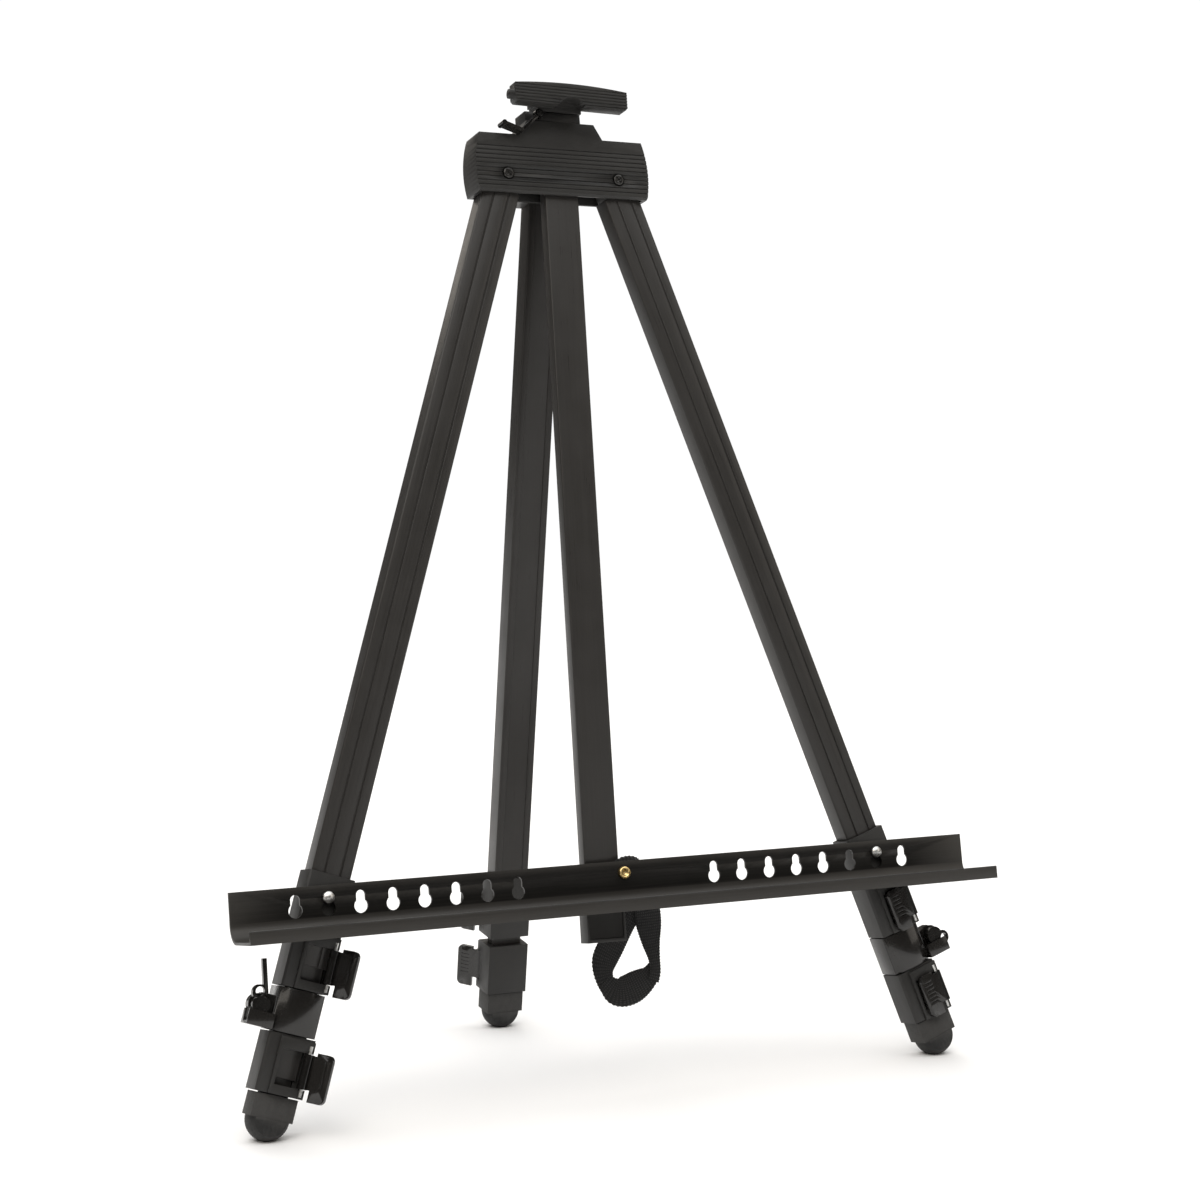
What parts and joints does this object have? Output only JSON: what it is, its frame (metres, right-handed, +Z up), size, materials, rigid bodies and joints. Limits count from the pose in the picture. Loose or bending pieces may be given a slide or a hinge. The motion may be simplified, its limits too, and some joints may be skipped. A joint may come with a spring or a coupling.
{
  "type": "tabletop easel",
  "caption": "Folding tabletop easel with telescopic tripod legs, flip locks, sliding centre mast with a top holder, and a lipped canvas tray hung on keyholes.",
  "frame": {"origin": "on the standing surface, under the middle of the easel's outline", "axes": "+Z up, -Y towards the painter, +X to the painter's right"},
  "size_m": [0.428, 0.2106, 0.5362],
  "materials": {
    "leg_metal": "satin black coating on drawn aluminium",
    "tray_metal": "satin black coating on extruded aluminium",
    "plastic": "moulded black plastic with a fine grain",
    "gloss_plastic": "polished black plastic",
    "rubber": "matt black rubber",
    "webbing": "black woven nylon",
    "zinc": "bright zinc plate",
    "black_steel": "black oxide on steel",
    "brass": "polished brass"
  },
  "bodies": {
    "head": {"head_front_cover": "plastic", "head_rear_cover": "plastic", "head_screws": "black_steel", "head_nuts": "zinc", "rear_hinge_pin": "zinc", "mast_tube": "leg_metal", "mast_end_cap": "plastic", "neck_clamp": "plastic", "neck_lever_pin": "black_steel", "tray_studs": "zinc"},
    "left_leg": {"left_knuckle": "plastic", "left_upper_tube": "leg_metal", "left_upper_collar": "plastic", "left_upper_lever_pin": "zinc"},
    "left_mid_section": {"left_mid_tube": "leg_metal", "left_lower_collar": "plastic", "left_lower_lever_pin": "zinc", "left_support_band": "gloss_plastic"},
    "left_foot_section": {"left_lower_tube": "leg_metal", "left_foot": "rubber"},
    "left_upper_lock": {"left_upper_lever": "gloss_plastic"},
    "left_lower_lock": {"left_lower_lever": "gloss_plastic"},
    "left_clamp": {"left_clamp_arm": "gloss_plastic"},
    "right_leg": {"right_knuckle": "plastic", "right_upper_tube": "leg_metal", "right_upper_collar": "plastic", "right_upper_lever_pin": "zinc"},
    "right_mid_section": {"right_mid_tube": "leg_metal", "right_lower_collar": "plastic", "right_lower_lever_pin": "zinc", "right_support_band": "gloss_plastic"},
    "right_foot_section": {"right_lower_tube": "leg_metal", "right_foot": "rubber"},
    "right_upper_lock": {"right_upper_lever": "gloss_plastic"},
    "right_lower_lock": {"right_lower_lever": "gloss_plastic"},
    "right_clamp": {"right_clamp_arm": "gloss_plastic"},
    "rear_leg": {"rear_knuckle": "plastic", "rear_upper_tube": "leg_metal", "rear_upper_collar": "plastic", "rear_upper_lever_pin": "zinc"},
    "rear_mid_section": {"rear_mid_tube": "leg_metal", "rear_lower_collar": "plastic", "rear_lower_lever_pin": "zinc"},
    "rear_foot_section": {"rear_lower_tube": "leg_metal", "rear_foot": "rubber"},
    "rear_upper_lock": {"rear_upper_lever": "gloss_plastic"},
    "rear_lower_lock": {"rear_lower_lever": "gloss_plastic"},
    "mast_slider": {"mast_inner_tube": "leg_metal", "top_holder": "plastic", "holder_screw": "zinc"},
    "neck_lock": {"neck_lever": "gloss_plastic"},
    "tray_unit": {"tray": "tray_metal", "tray_bolt": "brass", "tray_nut": "zinc", "strap": "webbing"}
  },
  "joints": [
    {"name": "left_leg_fold", "type": "hinge", "parent": "head", "child": "left_leg", "pos_m": [-0.0364, -0.00055, 0.48703], "axis": [0, -0.9851, 0.1719], "range_deg": [0, 16.5]},
    {"name": "left_upper_extension", "type": "slide", "parent": "left_leg", "child": "left_mid_section", "axis": [-0.3173, -0.163, -0.9342], "range_m": [0, 0.36]},
    {"name": "left_lower_extension", "type": "slide", "parent": "left_mid_section", "child": "left_foot_section", "axis": [-0.3173, -0.163, -0.9342], "range_m": [0, 0.36]},
    {"name": "left_upper_lever_flip", "type": "hinge", "parent": "left_leg", "child": "left_upper_lock", "pos_m": [-0.16371, -0.07454, 0.08108], "axis": [0.3173, 0.163, 0.9342], "range_deg": [-130, 0]},
    {"name": "left_lower_lever_flip", "type": "hinge", "parent": "left_mid_section", "child": "left_lower_lock", "pos_m": [-0.18011, -0.08297, 0.03278], "axis": [0.3173, 0.163, 0.9342], "range_deg": [-130, 0]},
    {"name": "left_clamp_turn", "type": "hinge", "parent": "left_mid_section", "child": "left_clamp", "pos_m": [-0.19984, -0.0711, 0.06588], "axis": [0, -0.9851, 0.1719], "range_deg": [0, 80]},
    {"name": "right_leg_fold", "type": "hinge", "parent": "head", "child": "right_leg", "pos_m": [0.0296, -0.00055, 0.48703], "axis": [0, 0.9851, -0.1719], "range_deg": [0, 16.5]},
    {"name": "right_upper_extension", "type": "slide", "parent": "right_leg", "child": "right_mid_section", "axis": [0.3173, -0.163, -0.9342], "range_m": [0, 0.36]},
    {"name": "right_lower_extension", "type": "slide", "parent": "right_mid_section", "child": "right_foot_section", "axis": [0.3173, -0.163, -0.9342], "range_m": [0, 0.36]},
    {"name": "right_upper_lever_flip", "type": "hinge", "parent": "right_leg", "child": "right_upper_lock", "pos_m": [0.17625, -0.07343, 0.08745], "axis": [-0.3173, 0.163, 0.9342], "range_deg": [0, 55]},
    {"name": "right_lower_lever_flip", "type": "hinge", "parent": "right_mid_section", "child": "right_lower_lock", "pos_m": [0.19266, -0.08186, 0.03915], "axis": [-0.3173, 0.163, 0.9342], "range_deg": [0, 130]},
    {"name": "right_clamp_turn", "type": "hinge", "parent": "right_mid_section", "child": "right_clamp", "pos_m": [0.19304, -0.0711, 0.06588], "axis": [0, 0.9851, -0.1719], "range_deg": [-117, 0]},
    {"name": "rear_leg_fold", "type": "hinge", "parent": "head", "child": "rear_leg", "pos_m": [-0.0034, 0.02396, 0.48783], "axis": [-1, 0, 0], "range_deg": [0, 17.2]},
    {"name": "rear_upper_extension", "type": "slide", "parent": "rear_leg", "child": "rear_mid_section", "axis": [0, 0.1323, -0.9912], "range_m": [0, 0.36]},
    {"name": "rear_lower_extension", "type": "slide", "parent": "rear_mid_section", "child": "rear_foot_section", "axis": [0, 0.1323, -0.9912], "range_m": [0, 0.36]},
    {"name": "rear_upper_lever_flip", "type": "hinge", "parent": "rear_leg", "child": "rear_upper_lock", "pos_m": [-0.0136, 0.08929, 0.07075], "axis": [0, -0.1323, 0.9912], "range_deg": [-130, 0]},
    {"name": "rear_lower_lever_flip", "type": "hinge", "parent": "rear_mid_section", "child": "rear_lower_lock", "pos_m": [-0.0136, 0.09379, 0.03705], "axis": [0, -0.1323, 0.9912], "range_deg": [-130, 0]},
    {"name": "mast_extension", "type": "slide", "parent": "head", "child": "mast_slider", "axis": [0.0164, 0.1719, 0.985], "range_m": [0, 0.34]},
    {"name": "neck_lever_flip", "type": "hinge", "parent": "head", "child": "neck_lock", "pos_m": [-0.0169, 0.00047, 0.52075], "axis": [0, 0.9851, -0.1719], "range_deg": [0, 40]},
    {"name": "tray_lift", "type": "slide", "parent": "head", "child": "tray_unit", "axis": [0, 0.1719, 0.9851], "range_m": [0, 0.0054]}
  ]
}
